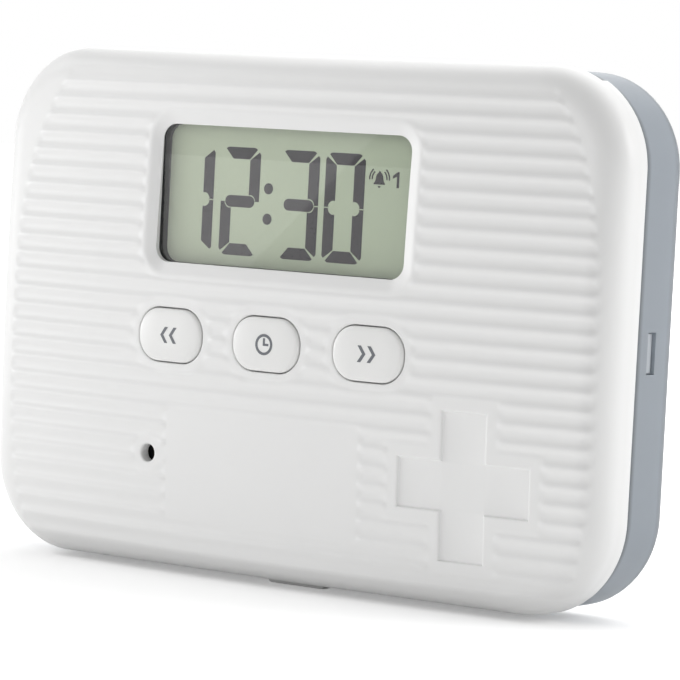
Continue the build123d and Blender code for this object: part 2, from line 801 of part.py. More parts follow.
# Tray of pill pockets, held in the case by a catch at each side
pocket_area = (2 * (tray_half_width - tray_wall), 2 * (tray_half_height - tray_wall))
pocket_size = (
    (pocket_area[0] - (tray_columns - 1) * tray_wall) / tray_columns,
    (pocket_area[1] - (tray_rows - 1) * tray_wall) / tray_rows,
)
with BuildPart() as pill_tray:
    with BuildSketch(at_depth(tray_back)):
        RectangleRounded(2 * tray_half_width, 2 * tray_half_height, tray_corner)
    extrude(amount=tray_back - tray_front)
    fillet(pill_tray.faces().sort_by(Axis.Y)[-1].edges(), tray_edge_radius)
    with BuildSketch(at_depth(tray_back - tray_floor)):
        with GridLocations(pocket_size[0] + tray_wall, pocket_size[1] + tray_wall, tray_columns, tray_rows):
            RectangleRounded(*pocket_size, pocket_corner)
        RectangleRounded(*pocket_area, tray_corner - tray_wall, mode=Mode.INTERSECT)
    extrude(amount=tray_back - tray_floor - tray_front, mode=Mode.SUBTRACT)
    with BuildSketch(Plane.YZ.offset(-catch_reach)):
        with Locations((front_y + slot_depth, centre_z + slot_height)):
            Rectangle(slot_width - 2 * catch_gap, slot_length - 2 * catch_gap)
    extrude(amount=tray_wall + catch_reach - tray_half_width)
    with BuildSketch(Plane.YZ.offset(catch_reach)):
        with Locations((front_y + slot_depth, centre_z + slot_height)):
            Rectangle(slot_width - 2 * catch_gap, slot_length - 2 * catch_gap)
    extrude(amount=-(tray_wall + catch_reach - tray_half_width))
pill_tray.part.label = "pill_tray"
export_step(pill_tray.part, "parts/pill_tray.step")
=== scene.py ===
from math import copysign, cos, hypot, pi, radians, sin, sqrt

import bmesh
import bpy
from mathutils import Matrix, Vector


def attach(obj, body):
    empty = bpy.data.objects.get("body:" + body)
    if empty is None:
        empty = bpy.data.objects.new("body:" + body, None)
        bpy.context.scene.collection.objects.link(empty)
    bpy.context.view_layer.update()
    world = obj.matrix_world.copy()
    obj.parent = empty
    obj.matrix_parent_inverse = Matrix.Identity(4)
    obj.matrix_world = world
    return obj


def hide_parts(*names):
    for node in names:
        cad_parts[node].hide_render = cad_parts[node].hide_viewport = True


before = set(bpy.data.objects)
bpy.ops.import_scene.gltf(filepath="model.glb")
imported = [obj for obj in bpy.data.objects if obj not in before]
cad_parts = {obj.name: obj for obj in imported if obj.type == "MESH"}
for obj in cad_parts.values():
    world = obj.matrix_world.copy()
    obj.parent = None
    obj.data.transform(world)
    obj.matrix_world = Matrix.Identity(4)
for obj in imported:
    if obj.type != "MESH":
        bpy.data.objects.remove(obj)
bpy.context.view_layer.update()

# Pill box with alarm. Sizes in millimetres, as in the part: x and z from the middle of the face,
# depth measured back from it. Meshes are drawn in these and brought to metres at the end.
MM = 0.001
FRONT_Y = -12.558
CENTRE_Z = 44.6
WIDTH = 126.4
HEIGHT = 87.4
CORNER = 16.2
FACE_RADIUS = 530.0
WALL = 1.8
TIMER_DEPTH = 12.5
PLATE_FRONT = 10.9

# Front edge, a soft round that runs further back than it runs in
EDGE_INSET = 4.9
EDGE_DEPTH = 8.9
EDGE_POWER = 2 / 2.17
EDGE_STEPS = 16

# Ribs: one wave with a smaller one of half its length on it, a little deeper towards the right
RIB_PITCH = 3.0076
RIB_TOP = 38.4
RIB_HEIGHT = 0.175
RIB_CREST = 0.17
RIB_SECOND_HEIGHT = 0.175
RIB_SECOND_CREST = 0.155
RIB_DEEPENING = 0.2
RIB_SPAN = 60.0
RIB_END = 0.75
ROWS_PER_RIB = 10
COLUMN = 0.55

# Where the ribs end: at the sides at half height, at the top and at the foot
RIBS_LEFT = -58.2
RIBS_RIGHT = 61.2
RIBS_HIGHEST = 40.6
RIBS_LOWEST = -41.6

# Their ends draw in towards the corners, from this height: by how much, and how far up or down
RIBS_WAIST = -8
RIBS_DRAW_UP = (2.2, 30.9)
RIBS_DRAW_DOWN = (1.6, 25)
RIBS_DRAW_POWER = 3.5

# Features of the face: middle x, middle z, width, height, corner
BODY = (0, 0, WIDTH, HEIGHT, CORNER)
DISPLAY = (-0.2, 19.7, 51.0, 23.2, 2.6)
BUTTON_XS = {"hour": -20.8, "mode": -0.4, "minute": 20.0}
BUTTON_Z = -4.1
BUTTON = (13.6, 8.9, 4.2)
BUTTON_GAP = 0.2
SOUND_HOLE = (-25.1, -24.3, 3.0, 3.0, 1.499)
LABEL = (-1.1, -25.6, 39.8, 18.8, 0.6)
CROSS = (38.5, -24.0)
CROSS_ARM = 8.0
CROSS_RECESS = 0.45

# Widths of the smooth flats that part these features from the ribs
DISPLAY_FLAT = 2.6
BUTTON_FLAT = 1.5
SOUND_FLAT = 1.5
CROSS_FLAT = 2.0

# Lead-ins of the holes: how far they widen at the face, and how deep the walls go
DISPLAY_LEAD = 2.4
DISPLAY_SEAT = 2.38
DISPLAY_FALL = 0.85
DISPLAY_BEND = 0.35
DISPLAY_STEPS = 9
DISPLAY_WALL = 0.15
BUTTON_LEAD = 0.25
SOUND_LEAD = 0.3
CROSS_LEAD = 0.3
HOLE_DEPTH = 2.0
LEAD_STEPS = 4

# How near a point lies to the outline that it was cut on
ON_HOLE = 0.06
ON_EDGE = 0.08
WELD = 0.004

# Step of the cross from the face to its floor: distance outside its outline, depth
CROSS_STEP = (
    (CROSS_LEAD, 0.0),
    (0.2, 0.02),
    (0.08, 0.09),
    (0.02, 0.2),
    (-0.02, 0.33),
    (-0.1, 0.42),
    (-0.22, CROSS_RECESS),
)

# Casing behind its soft edge, round the rear rim to the inner side: distance inside the outline, depth
REAR_RIM = (
    (0, 9.6),
    (0, 10.4),
    (0, 12.3),
    (0.06, 12.44),
    (0.2, TIMER_DEPTH),
    (1.1, TIMER_DEPTH),
    (1.1, PLATE_FRONT),
    (WALL, PLATE_FRONT),
    (WALL, 9.0),
    (3.2, 6.8),
    (6.2, 5.6),
)

# Thumb tab, hinge notch and the bar in front of it, the last two from corner to corner
TAB = (0.7, -43.7, 12.0, 1.8, 0.85)
TAB_DEPTH = 2.2
TAB_ROUND = 0.3
NOTCH = ((-55.05, 10.7, 41.6), (55.05, 14, 45))
NOTCH_BAR = ((-47.2, 6.4, 39.3), (47.2, 10.68, 42.4))

# Button cap: distance outside its outline, and how deep the surface lies there below the crown or the face
CAP_CROWN = -0.5
CAP_MIDDLE = 4.0
CAP_DOME = ((-3.0, 0.015), (-2.0, 0.05), (-1.2, 0.1), (-0.7, 0.15))
CAP_ROUND = 0.6
CAP_ROUND_FALL = 0.45
CAP_ROUND_START = 0.17
CAP_ROUND_STEPS = 5
CAP_FOOT = ((0, 1.9), (0.7, 2.05), (0.7, 2.8))

# Marks on the caps
MARK_BACK = -0.49
MARK_FRONT = -0.53
CLOCK_OUTSIDE = 1.75
CLOCK_INSIDE = 1.3
ARROW_SHIFT = 0.95

# Display panel, the bars of its digits, and where each digit starts with the bars that it shows
PANEL_FRONT = 4.9
PANEL_BACK = 6.45
PANEL_MARGIN = 4.6
PANEL_CORNER = 0.4
PANE = 0.75
PANE_STEP = 0.25
SEGMENT_RISE = 0.06
SEGMENT_SINK = 0.02
DIGIT_TOP = 27.95
DIGIT_FOOT = 9.95
DIGIT_WIDTH = 7.95
STROKE = 2.15
BAR = 1.95
BAR_INSET = 0.95
SEGMENT_GAP = 0.13
DIGIT_CORNER = 1.0
DIGITS = ((-24.3, "bc"), (-14.7, "abged"), (-2.5, "abgcd"), (6.7, "abcdef"))
COLON_X = -4.85
COLON_ZS = (21.35, 16.3)
COLON_RADIUS = 0.92
BELL = (17.55, 24.15)
ALARM_NUMBER = (20.15, 22.8)


# Places and outlines
def drop(x, z):
    """How far back the domed face lies at a place on it."""
    return FACE_RADIUS - sqrt(FACE_RADIUS**2 - x * x - z * z)


def grown(outline, amount):
    """A rounded outline made larger all round."""
    x, z, width, height, corner = outline
    return (x, z, width + 2 * amount, height + 2 * amount, max(corner + amount, 0.05))


def reach(outline, x, z):
    """Distance outside a rounded outline, and the way out of it."""
    px, pz = x - outline[0], z - outline[1]
    corner = outline[4]
    qx = abs(px) - (outline[2] / 2 - corner)
    qz = abs(pz) - (outline[3] / 2 - corner)
    if qx > 0 and qz > 0:
        length = hypot(qx, qz)
        return length - corner, (copysign(qx / length, px), copysign(qz / length, pz))
    if qx > qz:
        return qx - corner, (copysign(1, px), 0)
    return qz - corner, (0, copysign(1, pz))


def outline_points(outline, steps=10):
    """Points round a rounded outline, anticlockwise from its right side."""
    x, z, width, height, corner = outline
    points = []
    for quarter, (sx, sz) in enumerate(((1, 1), (-1, 1), (-1, -1), (1, -1))):
        for i in range(steps + 1):
            turn = (quarter + i / steps) * pi / 2
            points.append(
                (
                    x + sx * (width / 2 - corner) + corner * cos(turn),
                    z + sz * (height / 2 - corner) + corner * sin(turn),
                )
            )
    return points


def cross_points(amount):
    """Corners of the cross, made larger all round."""
    near, far = CROSS_ARM / 2 + amount, 1.5 * CROSS_ARM + amount
    quarter = [(far, near), (near, near), (near, far)]
    points = []
    for turn in range(4):
        for x, z in quarter:
            for _ in range(turn):
                x, z = -z, x
            points.append((CROSS[0] + x, CROSS[1] + z))
    return points


def smooth(value):
    """Eases from 0 to 1."""
    value = min(max(value, 0), 1)
    return value * value * (3 - 2 * value)


def button_outline(x, amount=0.0):
    """A button's outline, made larger all round."""
    return grown((x, BUTTON_Z, *BUTTON), amount)


def rib_limits(z):
    """Where the ribs end at the left and right edges of the face."""
    amount, length = RIBS_DRAW_UP if z > RIBS_WAIST else RIBS_DRAW_DOWN
    draw = amount * (abs(z - RIBS_WAIST) / length) ** RIBS_DRAW_POWER
    return RIBS_LEFT + draw, RIBS_RIGHT - draw


def room_for_ribs(x, z):
    """Distance from a place on the face to the nearest flat that ends the ribs."""
    left, right = rib_limits(z)
    room = min(x - left, right - x, RIBS_HIGHEST - z, z - RIBS_LOWEST)
    flats = [grown(DISPLAY, DISPLAY_FLAT), grown(SOUND_HOLE, SOUND_FLAT), LABEL]
    flats += [button_outline(button_x, BUTTON_FLAT) for button_x in BUTTON_XS.values()]
    px, pz = abs(x - CROSS[0]), abs(z - CROSS[1])
    near, far = CROSS_ARM / 2 + CROSS_FLAT, 1.5 * CROSS_ARM + CROSS_FLAT
    cross = min(max(px - near, pz - far), max(px - far, pz - near))
    return min(room, cross, *(reach(flat, x, z)[0] for flat in flats))


def rib(x, z):
    """Height of the ribs' wave over the dome, its upper flank the steeper one."""
    count = (RIB_TOP - z) / RIB_PITCH
    wave = cos(2 * pi * (count - RIB_CREST))
    wave += RIB_SECOND_HEIGHT * cos(4 * pi * (count - RIB_SECOND_CREST))
    height = RIB_HEIGHT * (1 + RIB_DEEPENING * x / RIB_SPAN)
    return height * wave * smooth(room_for_ribs(x, z) / RIB_END)


# Mesh helpers
def finished(name, bm, body, material, angle=35, onto_face=False, replaces=()):
    for vert in bm.verts:
        x, depth, z = vert.co
        if onto_face:
            depth += drop(x, z)
        vert.co = Vector((x, FRONT_Y + depth, CENTRE_Z + z)) * MM
    mesh = bpy.data.meshes.new(name)
    bm.to_mesh(mesh)
    bm.free()
    mesh.shade_smooth()
    mesh.set_sharp_from_angle(angle=radians(angle))
    mesh.materials.append(material)
    piece = bpy.data.objects.new(name, mesh)
    bpy.context.scene.collection.objects.link(piece)
    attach(piece, body)
    if replaces:
        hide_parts(*replaces)
    return piece


def slab(bm, points, front, back):
    """A flat block with that outline between two depths."""
    verts = [bm.verts.new((x, back, z)) for x, z in points]
    face = bm.faces.new(verts)
    made = bmesh.ops.extrude_face_region(bm, geom=[face])
    moved = [v for v in made["geom"] if isinstance(v, bmesh.types.BMVert)]
    bmesh.ops.translate(bm, vec=(0, front - back, 0), verts=moved)
    every = list({f for v in verts + moved for f in v.link_faces})
    bmesh.ops.recalc_face_normals(bm, faces=every)
    return every


def ring_slab(bm, outer, inner, front, back):
    """A flat block between two outlines, from one depth to another."""
    loops = [[bm.verts.new((x, back, z)) for x, z in points] for points in (outer, inner)]
    edges = [bm.edges.new((loop[i - 1], loop[i])) for loop in loops for i in range(len(loop))]
    bmesh.ops.triangle_fill(bm, edges=edges, use_beauty=True, normal=(0, -1, 0))
    made = bmesh.ops.extrude_face_region(bm, geom=bm.faces[:])
    moved = [v for v in made["geom"] if isinstance(v, bmesh.types.BMVert)]
    bmesh.ops.translate(bm, vec=(0, front - back, 0), verts=moved)
    bmesh.ops.recalc_face_normals(bm, faces=bm.faces)


def box(bm, low, high):
    """A plain block between two corners."""
    size = Vector(high) - Vector(low)
    middle = (Vector(high) + Vector(low)) / 2
    matrix = Matrix.Translation(middle) @ Matrix.Diagonal((*size, 1))
    return bmesh.ops.create_cube(bm, size=1, matrix=matrix)["verts"]


def soften(bm, amount, segments=3, edges=None):
    """Rounds the edges of a mesh."""
    bmesh.ops.bevel(
        bm,
        geom=edges or bm.edges[:],
        offset=amount,
        segments=segments,
        profile=0.5,
        affect="EDGES",
        clamp_overlap=True,
        material=-1,
    )


def cut(bm, cutter, solver="EXACT"):
    """Takes one mesh out of another, both in millimetres."""
    objects = []
    for part in (bm, cutter):
        mesh = bpy.data.meshes.new("working")
        part.to_mesh(mesh)
        part.free()
        objects.append(bpy.data.objects.new("working", mesh))
        bpy.context.scene.collection.objects.link(objects[-1])
    body, tool = objects
    modifier = body.modifiers.new("cut", "BOOLEAN")
    modifier.operation = "DIFFERENCE"
    modifier.solver = solver
    modifier.object = tool
    bpy.context.view_layer.update()
    result = bmesh.new()
    result.from_mesh(body.evaluated_get(bpy.context.evaluated_depsgraph_get()).data)
    for thing in objects:
        mesh = thing.data
        bpy.data.objects.remove(thing)
        bpy.data.meshes.remove(mesh)
    return result


def rim_loop(bm, near):
    """Open edges whose ends a test accepts."""
    return [e for e in bm.edges if e.is_boundary and all(near(v.co.x, v.co.z) for v in e.verts)]


def extend(bm, edges, move):
    """Adds a ring along open edges, each new point moved by a rule."""
    made = bmesh.ops.extrude_edge_only(bm, edges=edges)["geom"]
    for vert in made:
        if isinstance(vert, bmesh.types.BMVert):
            vert.co = move(vert.co)
    return [e for e in made if isinstance(e, bmesh.types.BMEdge) and e.is_boundary]


def stepped(outline, offset, depth, absolute=False):
    """Rule that puts a point on an outline at an offset outwards and a depth below the face."""

    def move(co):
        distance, (nx, nz) = reach(outline, co.x, co.z)
        x, z = co.x + nx * (offset - distance), co.z + nz * (offset - distance)
        return Vector((x, depth - drop(x, z) if absolute else depth, z))

    return move


# Materials
def principled(name, colour, roughness, **values):
    """A material with its own constants on the shader, and the tools to add to it."""
    material = bpy.data.materials.new(name)
    material.use_nodes = True
    tree = material.node_tree
    shader = tree.nodes["Principled BSDF"]
    shader.inputs["Base Color"].default_value = (*colour, 1)
    shader.inputs["Roughness"].default_value = roughness
    for key, value in values.items():
        shader.inputs[key.replace("_", " ")].default_value = value
    return material, tree, shader


def surface_group():
    """Shared finish of moulded and metal faces: slow colour drift, grain in the gloss, fine relief."""
    group = bpy.data.node_groups.new("surface finish", "ShaderNodeTree")
    face = group.interface
    for label, kind, default in (
        ("Colour", "NodeSocketColor", (0.8, 0.8, 0.8, 1)),
        ("Drift", "NodeSocketFloat", 0.02),
        ("Roughness", "NodeSocketFloat", 0.4),
        ("Gloss Grain", "NodeSocketFloat", 0.05),
        ("Grain Size", "NodeSocketFloat", 1500.0),
    ):
        socket = face.new_socket(label, in_out="INPUT", socket_type=kind)
        socket.default_value = default
    for label, kind in (
        ("Colour", "NodeSocketColor"),
        ("Roughness", "NodeSocketFloat"),
        ("Height", "NodeSocketFloat"),
    ):
        face.new_socket(label, in_out="OUTPUT", socket_type=kind)
    nodes, links = group.nodes, group.links
    start, end = nodes.new("NodeGroupInput"), nodes.new("NodeGroupOutput")
    place = nodes.new("ShaderNodeTexCoord")
    slow = nodes.new("ShaderNodeTexNoise")
    slow.inputs["Scale"].default_value = 35
    slow.inputs["Detail"].default_value = 3
    fine = nodes.new("ShaderNodeTexNoise")
    fine.inputs["Detail"].default_value = 2
    links.new(place.outputs["Object"], slow.inputs["Vector"])
    links.new(place.outputs["Object"], fine.inputs["Vector"])
    links.new(start.outputs["Grain Size"], fine.inputs["Scale"])
    shade = nodes.new("ShaderNodeMath")
    shade.operation = "MULTIPLY_ADD"
    centre = nodes.new("ShaderNodeMath")
    centre.operation = "SUBTRACT"
    centre.inputs[1].default_value = 0.5
    links.new(slow.outputs["Fac"], centre.inputs[0])
    links.new(centre.outputs[0], shade.inputs[0])
    links.new(start.outputs["Drift"], shade.inputs[1])
    shade.inputs[2].default_value = 1
    tint = nodes.new("ShaderNodeVectorMath")
    tint.operation = "SCALE"
    links.new(start.outputs["Colour"], tint.inputs[0])
    links.new(shade.outputs[0], tint.inputs["Scale"])
    gloss = nodes.new("ShaderNodeMath")
    gloss.operation = "MULTIPLY_ADD"
    links.new(fine.outputs["Fac"], gloss.inputs[0])
    links.new(start.outputs["Gloss Grain"], gloss.inputs[1])
    links.new(start.outputs["Roughness"], gloss.inputs[2])
    links.new(tint.outputs[0], end.inputs["Colour"])
    links.new(gloss.outputs[0], end.inputs["Roughness"])
    links.new(fine.outputs["Fac"], end.inputs["Height"])
    return group


FINISH = surface_group()


def moulded(name, colour, roughness=0.4, drift=0.03, grain=0.06, grain_size=1500.0, relief=0.02, **values):
    """Plastic, rubber or metal with the shared finish."""
    material, tree, shader = principled(name, colour, roughness, **values)
    finish = tree.nodes.new("ShaderNodeGroup")
    finish.node_tree = FINISH
    finish.inputs["Colour"].default_value = (*colour, 1)
    finish.inputs["Drift"].default_value = drift
    finish.inputs["Roughness"].default_value = roughness
    finish.inputs["Gloss Grain"].default_value = grain
    finish.inputs["Grain Size"].default_value = grain_size
    bump = tree.nodes.new("ShaderNodeBump")
    bump.inputs["Strength"].default_value = relief
    bump.inputs["Distance"].default_value = 0.0002
    tree.links.new(finish.outputs["Colour"], shader.inputs["Base Color"])
    tree.links.new(finish.outputs["Roughness"], shader.inputs["Roughness"])
    tree.links.new(finish.outputs["Height"], bump.inputs["Height"])
    tree.links.new(bump.outputs["Normal"], shader.inputs["Normal"])
    return material


white = moulded("white casing plastic", (0.80, 0.80, 0.795), 0.38, 0.02, 0.06)
button_white = moulded("white button plastic", (0.80, 0.80, 0.79), 0.32, 0.02, 0.05)
ink = moulded("grey button mark", (0.13, 0.14, 0.155), 0.5)
tray_clear = moulded(
    "frosted tray plastic", (0.62, 0.66, 0.70), 0.35, 0.02, 0.08, Transmission_Weight=0.25, IOR=1.49
)
black_rubber = moulded("black rubber", (0.02, 0.021, 0.023), 0.65, 0.2, 0.15)
black_plastic = moulded("black moulded plastic", (0.025, 0.025, 0.027), 0.45, 0.15)
dark_stem = moulded("dark switch stem", (0.12, 0.03, 0.028), 0.45, 0.1)
steel = moulded("bright steel", (0.62, 0.62, 0.61), 0.26, 0.06, 0.12, 900.0, 0.03, Metallic=1.0)
tin = moulded("tinned metal", (0.66, 0.66, 0.64), 0.36, 0.08, 0.15, 900.0, 0.04, Metallic=1.0)
brass = moulded("brass disc", (0.72, 0.53, 0.24), 0.3, 0.08, 0.12, 900.0, 0.03, Metallic=1.0)
silver = moulded("silver film", (0.6, 0.6, 0.6), 0.3, 0.03, 0.1, Metallic=1.0)
board_green = moulded("green board", (0.02, 0.13, 0.05), 0.4, 0.2, 0.1)
segment = moulded("dark display segment", (0.022, 0.019, 0.024), 0.6, 0.05, Specular_IOR_Level=0.1)


def smoked_material():
    """Smoked clear plastic, with painted shade in its base colour: darker at its rim by the seam and at its rear
    edge, where light crosses more of it.
    """
    material = moulded(
        "smoked clear plastic",
        (0.43, 0.475, 0.525),
        0.42,
        0.02,
        0.05,
        Transmission_Weight=0.45,
        IOR=1.49,
        Specular_IOR_Level=0.3,
    )
    tree = material.node_tree
    base = tree.nodes["Principled BSDF"].inputs["Base Color"]
    plain = base.links[0].from_socket
    place = tree.nodes.new("ShaderNodeTexCoord")
    split = tree.nodes.new("ShaderNodeSeparateXYZ")
    along = tree.nodes.new("ShaderNodeMapRange")
    along.inputs["From Max"].default_value = 0.0132
    # Ramp along the depth: painted shade near the seam and near the rear edge, full tone between them and on the
    # back face.
    painted_edge_shade = tree.nodes.new("ShaderNodeValToRGB")
    stops = ((0.0, 0.25), (0.06, 0.35), (0.16, 1.0), (0.70, 1.0), (0.87, 0.55), (0.95, 0.45), (0.99, 1.0))
    ramp = painted_edge_shade.color_ramp
    while len(ramp.elements) < len(stops):
        ramp.elements.new(0.5)
    for stop, (position, value) in zip(ramp.elements, stops):
        stop.position = position
        stop.color = (value, value, value, 1)
    edge_shaded_colour = tree.nodes.new("ShaderNodeVectorMath")
    edge_shaded_colour.operation = "MULTIPLY"
    tree.links.new(place.outputs["Object"], split.inputs[0])
    tree.links.new(split.outputs["Y"], along.inputs["Value"])
    tree.links.new(along.outputs["Result"], painted_edge_shade.inputs["Fac"])
    tree.links.new(plain, edge_shaded_colour.inputs[0])
    tree.links.new(painted_edge_shade.outputs["Color"], edge_shaded_colour.inputs[1])
    tree.links.new(edge_shaded_colour.outputs[0], base)
    return material


def display_material():
    """Green-grey display glass, a touch darker towards its right."""
    material, tree, shader = principled("display glass", (0.40, 0.46, 0.35), 0.5, Specular_IOR_Level=0.1)
    place = tree.nodes.new("ShaderNodeTexCoord")
    split = tree.nodes.new("ShaderNodeSeparateXYZ")
    along = tree.nodes.new("ShaderNodeMapRange")
    along.inputs["From Min"].default_value = -0.026
    along.inputs["From Max"].default_value = 0.026
    cloud = tree.nodes.new("ShaderNodeTexNoise")
    cloud.inputs["Scale"].default_value = 60
    mixed = tree.nodes.new("ShaderNodeMath")
    mixed.operation = "MULTIPLY_ADD"
    mixed.inputs[1].default_value = 0.1
    ramp = tree.nodes.new("ShaderNodeValToRGB")
    ramp.color_ramp.elements[0].color = (0.47, 0.53, 0.395, 1)
    ramp.color_ramp.elements[1].color = (0.43, 0.50, 0.365, 1)
    tree.links.new(place.outputs["Object"], split.inputs[0])
    tree.links.new(place.outputs["Object"], cloud.inputs["Vector"])
    tree.links.new(split.outputs["X"], along.inputs["Value"])
    tree.links.new(cloud.outputs["Fac"], mixed.inputs[0])
    tree.links.new(along.outputs["Result"], mixed.inputs[2])
    tree.links.new(mixed.outputs[0], ramp.inputs["Fac"])
    tree.links.new(ramp.outputs["Color"], shader.inputs["Base Color"])
    return material


def window_material():
    """Clear hard-coated pane with a trace of unevenness."""
    material, tree, shader = principled(
        "clear window", (1, 1, 1), 0.0, Transmission_Weight=1.0, IOR=1.4, Specular_IOR_Level=0.2
    )
    place = tree.nodes.new("ShaderNodeTexCoord")
    film = tree.nodes.new("ShaderNodeTexNoise")
    film.inputs["Scale"].default_value = 90
    gloss = tree.nodes.new("ShaderNodeMapRange")
    gloss.inputs["To Min"].default_value = 0.0
    gloss.inputs["To Max"].default_value = 0.01
    tree.links.new(place.outputs["Object"], film.inputs["Vector"])
    tree.links.new(film.outputs["Fac"], gloss.inputs["Value"])
    tree.links.new(gloss.outputs["Result"], shader.inputs["Roughness"])
    return material


smoke = smoked_material()
display_glass = display_material()
clear = window_material()


# White front casing
def casing_sheet():
    """The face as a fine flat sheet, trimmed to its outline and holes; its y is the depth below the dome."""
    row = RIB_PITCH / ROWS_PER_RIB
    rows = int(HEIGHT / row)
    columns = int(WIDTH / COLUMN)
    bm = bmesh.new()
    bmesh.ops.create_grid(bm, x_segments=columns, y_segments=rows, size=1)
    for vert in bm.verts:
        x, z = vert.co.x * columns * COLUMN / 2, vert.co.y * rows * row / 2
        vert.co = (x, 0, z)
    inner = grown(BODY, -EDGE_INSET)
    far = [v for v in bm.verts if reach(inner, v.co.x, v.co.z)[0] > 2]
    bmesh.ops.delete(bm, geom=far, context="VERTS")
    holes = bmesh.new()
    for outline in face_holes():
        slab(holes, outline_points(outline, 14), -1, 1)
    slab(holes, cross_points(CROSS_LEAD), -1, 1)
    bm = cut(bm, holes, "FAST")
    trim = bmesh.new()
    outside = outline_points((0, 0, WIDTH + 20, HEIGHT + 20, 4))
    ring_slab(trim, outside, outline_points(inner, 48), -1, 1)
    bm = cut(bm, trim, "FAST")
    bmesh.ops.remove_doubles(bm, verts=bm.verts, dist=WELD)
    bmesh.ops.dissolve_degenerate(bm, edges=bm.edges, dist=WELD)
    return bm


def face_holes():
    """The holes of the face with their lead-ins, largest first."""
    holes = [grown(DISPLAY, DISPLAY_LEAD), grown(SOUND_HOLE, SOUND_LEAD)]
    holes += [button_outline(x, BUTTON_GAP + BUTTON_LEAD) for x in BUTTON_XS.values()]
    return holes


def lead_in(bm, outline, lead):
    """Rounds a hole's edge and takes its wall down."""
    edges = rim_loop(bm, lambda x, z: abs(reach(outline, x, z)[0] - lead) < ON_HOLE)
    for i in range(1, LEAD_STEPS + 1):
        turn = i / LEAD_STEPS * pi / 2
        edges = extend(bm, edges, stepped(outline, lead * (1 - sin(turn)), lead * (1 - cos(turn))))
    return extend(bm, edges, stepped(outline, 0, HOLE_DEPTH))


def display_frame(bm):
    """The wide soft slope round the display, ending on the window's seat."""
    edges = rim_loop(bm, lambda x, z: abs(reach(DISPLAY, x, z)[0] - DISPLAY_LEAD) < ON_HOLE)
    for i in range(1, DISPLAY_STEPS + 1):
        share = i / DISPLAY_STEPS
        offset = DISPLAY_LEAD * (1 - share)

        def move(co, offset=offset, share=share):
            point = stepped(DISPLAY, offset, 0)(co)
            edge = stepped(DISPLAY, 0, 0)(co)
            fall = min(DISPLAY_FALL, DISPLAY_SEAT - DISPLAY_WALL - drop(edge.x, edge.z))
            bent = share**2 / (2 * DISPLAY_BEND) if share < DISPLAY_BEND else share - DISPLAY_BEND / 2
            point.y = fall * bent / (1 - DISPLAY_BEND / 2)
            return point

        edges = extend(bm, edges, move)
    return extend(bm, edges, stepped(DISPLAY, 0, DISPLAY_SEAT, absolute=True))


def cross_step(bm):
    """The shallow cross: a soft step down and a flat floor."""
    near, far = CROSS_ARM / 2, 1.5 * CROSS_ARM

    def on_outline(x, z):
        px, pz = abs(x - CROSS[0]), abs(z - CROSS[1])
        return abs(max(min(px, pz) - near, max(px, pz) - far) - CROSS_LEAD) < ON_HOLE

    def scaled(value, old, new):
        size = abs(value)
        if size < near + old:
            size *= (near + new) / (near + old)
        else:
            size += new - old
        return copysign(size, value)

    edges = rim_loop(bm, on_outline)
    for (old, _), (new, depth) in zip(CROSS_STEP, CROSS_STEP[1:]):

        def move(co, old=old, new=new, depth=depth):
            x, z = scaled(co.x - CROSS[0], old, new), scaled(co.z - CROSS[1], old, new)
            return Vector((CROSS[0] + x, depth, CROSS[1] + z))

        edges = extend(bm, edges, move)
    bmesh.ops.triangle_fill(bm, edges=edges, use_beauty=True, normal=(0, -1, 0))


def casing():
    """The ribbed shell: face, soft edge, side wall, rear rim and inner side."""
    bm = casing_sheet()
    inner_edges = []
    inner_edges += lead_in(bm, SOUND_HOLE, SOUND_LEAD)
    for x in BUTTON_XS.values():
        inner_edges += lead_in(bm, button_outline(x, BUTTON_GAP), BUTTON_LEAD)
    inner_edges += display_frame(bm)
    cross_step(bm)
    edges = rim_loop(bm, lambda x, z: abs(reach(BODY, x, z)[0] + EDGE_INSET) < ON_EDGE)
    for i in range(1, EDGE_STEPS + 1):
        turn = (1 - i / EDGE_STEPS) * pi / 2
        inset = EDGE_INSET * (1 - cos(turn) ** EDGE_POWER)
        fall = 1 - sin(turn) ** EDGE_POWER

        def move(co, inset=inset, fall=fall):
            distance, (nx, nz) = reach(BODY, co.x, co.z)
            x, z = co.x - nx * (distance + inset), co.z - nz * (distance + inset)
            return Vector((x, (EDGE_DEPTH - drop(x, z)) * fall, z))

        edges = extend(bm, edges, move)
    for inset, depth in REAR_RIM:
        edges = extend(bm, edges, stepped(BODY, -inset, depth, absolute=True))
    inner_edges += edges
    for vert in bm.verts:
        if vert.co.y < EDGE_DEPTH:
            vert.co.y -= rib(vert.co.x, vert.co.z)
    bmesh.ops.triangle_fill(bm, edges=inner_edges, use_beauty=True, normal=(0, 1, 0))
    bmesh.ops.recalc_face_normals(bm, faces=bm.faces)
    for vert in bm.verts:
        vert.co.y += drop(vert.co.x, vert.co.z)
    return bm


def tab_and_rail(bm):
    """The thumb tab under the parting line and the bar that closes the hinge notch."""
    tab = bmesh.new()
    slab(tab, outline_points(TAB, 8), TIMER_DEPTH - TAB_DEPTH, TIMER_DEPTH)
    rear = [e for e in tab.edges if abs(e.verts[0].co.y - e.verts[1].co.y) < 0.01]
    soften(tab, TAB_ROUND, 3, rear)
    box(tab, *NOTCH_BAR)
    mesh = bpy.data.meshes.new("joined")
    tab.to_mesh(mesh)
    tab.free()
    bm.from_mesh(mesh)
    bpy.data.meshes.remove(mesh)
    return bm


shell = casing()
notch = bmesh.new()
box(notch, *NOTCH)
shell = tab_and_rail(cut(shell, notch))
finished("casing", shell, "timer", white, angle=38, replaces=["front_casing"])


